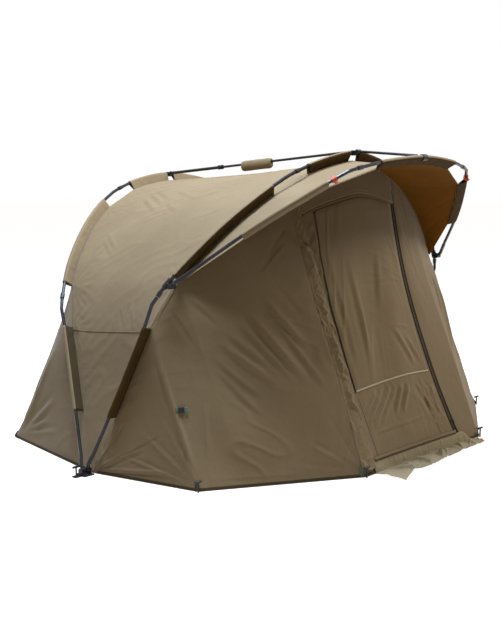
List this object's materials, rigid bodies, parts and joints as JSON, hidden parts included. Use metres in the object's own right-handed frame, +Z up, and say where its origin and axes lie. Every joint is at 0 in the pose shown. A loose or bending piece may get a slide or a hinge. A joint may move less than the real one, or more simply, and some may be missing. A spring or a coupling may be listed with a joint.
{
  "type": "bivvy tent",
  "caption": "Dome bivvy shelter on folding ribs that swing from side pivot blocks, with a front hood, roof tension bars, a zipped door with a window, and a mud skirt",
  "frame": {"origin": "on the ground at the middle of the footprint's bounding box", "axes": "+Z up, the doorway faces -Y, +X runs across the tent to the right as seen from behind it"},
  "size_m": [2.6618, 1.9001, 1.4156],
  "materials": {
    "canopy_cloth": "coated olive-brown polyester, matt with a slight sheen",
    "sleeve_cloth": "doubled olive-brown polyester",
    "skirt_cloth": "heavy coated groundsheet cloth",
    "window_cloth": "zipped window cover, matt",
    "pole_metal": "dark anodised tube",
    "black_plastic": "moulded black",
    "clip_plastic": "moulded orange-red",
    "peg_metal": "blackened steel"
  },
  "bodies": {
    "base": {"pivot_block_left": "black_plastic", "pivot_block_right": "black_plastic", "rear_rib_leg_left": "pole_metal", "rear_rib_leg_right": "pole_metal", "rear_rib_shoulder_left": "pole_metal", "rear_rib_shoulder_right": "pole_metal", "rear_rib_crown": "pole_metal", "rear_leg_sleeve_left": "sleeve_cloth", "rear_leg_sleeve_right": "sleeve_cloth", "rear_shoulder_sleeve_left": "sleeve_cloth", "rear_shoulder_sleeve_right": "sleeve_cloth", "rear_crown_sleeve_left": "sleeve_cloth", "rear_crown_sleeve_right": "sleeve_cloth", "rear_crown_bracket": "black_plastic", "roof_panel": "canopy_cloth", "rear_wall": "canopy_cloth", "block_peg_left": "peg_metal", "block_peg_right": "peg_metal", "shoulder_peg_left": "peg_metal", "shoulder_peg_right": "peg_metal", "door_peg_left": "peg_metal", "door_peg_right": "peg_metal"},
    "middle_rib": {"middle_rib_leg_left": "pole_metal", "middle_rib_leg_right": "pole_metal", "middle_rib_shoulder_left": "pole_metal", "middle_rib_shoulder_right": "pole_metal", "middle_rib_crown": "pole_metal", "middle_leg_sleeve_left": "sleeve_cloth", "middle_leg_sleeve_right": "sleeve_cloth", "middle_shoulder_sleeve_left": "sleeve_cloth", "middle_shoulder_sleeve_right": "sleeve_cloth", "middle_crown_sleeve_left": "sleeve_cloth", "middle_crown_sleeve_right": "sleeve_cloth", "middle_crown_bracket": "black_plastic", "hub_left": "black_plastic", "hub_right": "black_plastic", "front_wing_left": "canopy_cloth", "front_wing_right": "canopy_cloth", "door_header": "canopy_cloth", "mud_skirt": "skirt_cloth"},
    "hood": {"hood_rib_side_left": "pole_metal", "hood_rib_side_right": "pole_metal", "hood_rib_crown": "pole_metal", "hood_side_sleeve_left": "sleeve_cloth", "hood_side_sleeve_right": "sleeve_cloth", "hood_crown_sleeve": "sleeve_cloth", "hood_clip_left": "clip_plastic", "hood_clip_right": "clip_plastic", "hood_crown_bracket": "black_plastic", "hood_panel": "canopy_cloth"},
    "rear_bar": {"rear_bar_outer": "pole_metal"},
    "rear_bar_slide": {"rear_bar_inner": "pole_metal", "bar_pad": "skirt_cloth"},
    "front_bar": {"front_bar": "pole_metal"},
    "door": {"door_panel": "canopy_cloth", "window_cover": "window_cloth"},
    "left_slider": {"zip_slider_left": "black_plastic"},
    "right_slider": {"zip_slider_right": "black_plastic"}
  },
  "joints": [
    {"name": "middle_rib_fold", "type": "hinge", "parent": "base", "child": "middle_rib", "pos_m": [0, 0.15, 0.022], "axis": [-1, 0, 0], "range_deg": [0, 42], "deforming": ["roof_panel", "front_wing_left", "front_wing_right", "door_header", "mud_skirt"]},
    {"name": "hood_fold", "type": "hinge", "parent": "middle_rib", "child": "hood", "pos_m": [0, -0.17477, 0.83535], "axis": [-1, 0, 0], "range_deg": [0, 24], "deforming": ["hood_panel"]},
    {"name": "rear_bar_swing", "type": "hinge", "parent": "base", "child": "rear_bar", "pos_m": [0, 0.8872, 1.29752], "axis": [-1, 0, 0], "range_deg": [0, 130]},
    {"name": "rear_bar_telescope", "type": "slide", "parent": "rear_bar", "child": "rear_bar_slide", "axis": [0, 0.9961, -0.0884], "range_m": [0, 0.13]},
    {"name": "front_bar_swing", "type": "hinge", "parent": "middle_rib", "child": "front_bar", "pos_m": [0, -0.37611, 1.40579], "axis": [-1, 0, 0], "range_deg": [0, 96]},
    {"name": "door_lift", "type": "hinge", "parent": "middle_rib", "child": "door", "pos_m": [0, -0.38478, 1.20148], "axis": [-1, 0, 0], "range_deg": [0, 75]},
    {"name": "left_zip", "type": "slide", "parent": "middle_rib", "child": "left_slider", "axis": [0, 0.3678, 0.9299], "range_m": [0, 1.02]},
    {"name": "right_zip", "type": "hinge", "parent": "middle_rib", "child": "right_slider", "pos_m": [2.0043, -0.3241, 0.4903], "axis": [-0.155, 0.9265, -0.3428], "range_deg": [0, 34]}
  ],
  "couplings": [
    {"joint": "rear_bar_swing", "follows": "middle_rib_fold", "ratio": 3.095},
    {"joint": "front_bar_swing", "follows": "hood_fold", "ratio": 4}
  ]
}
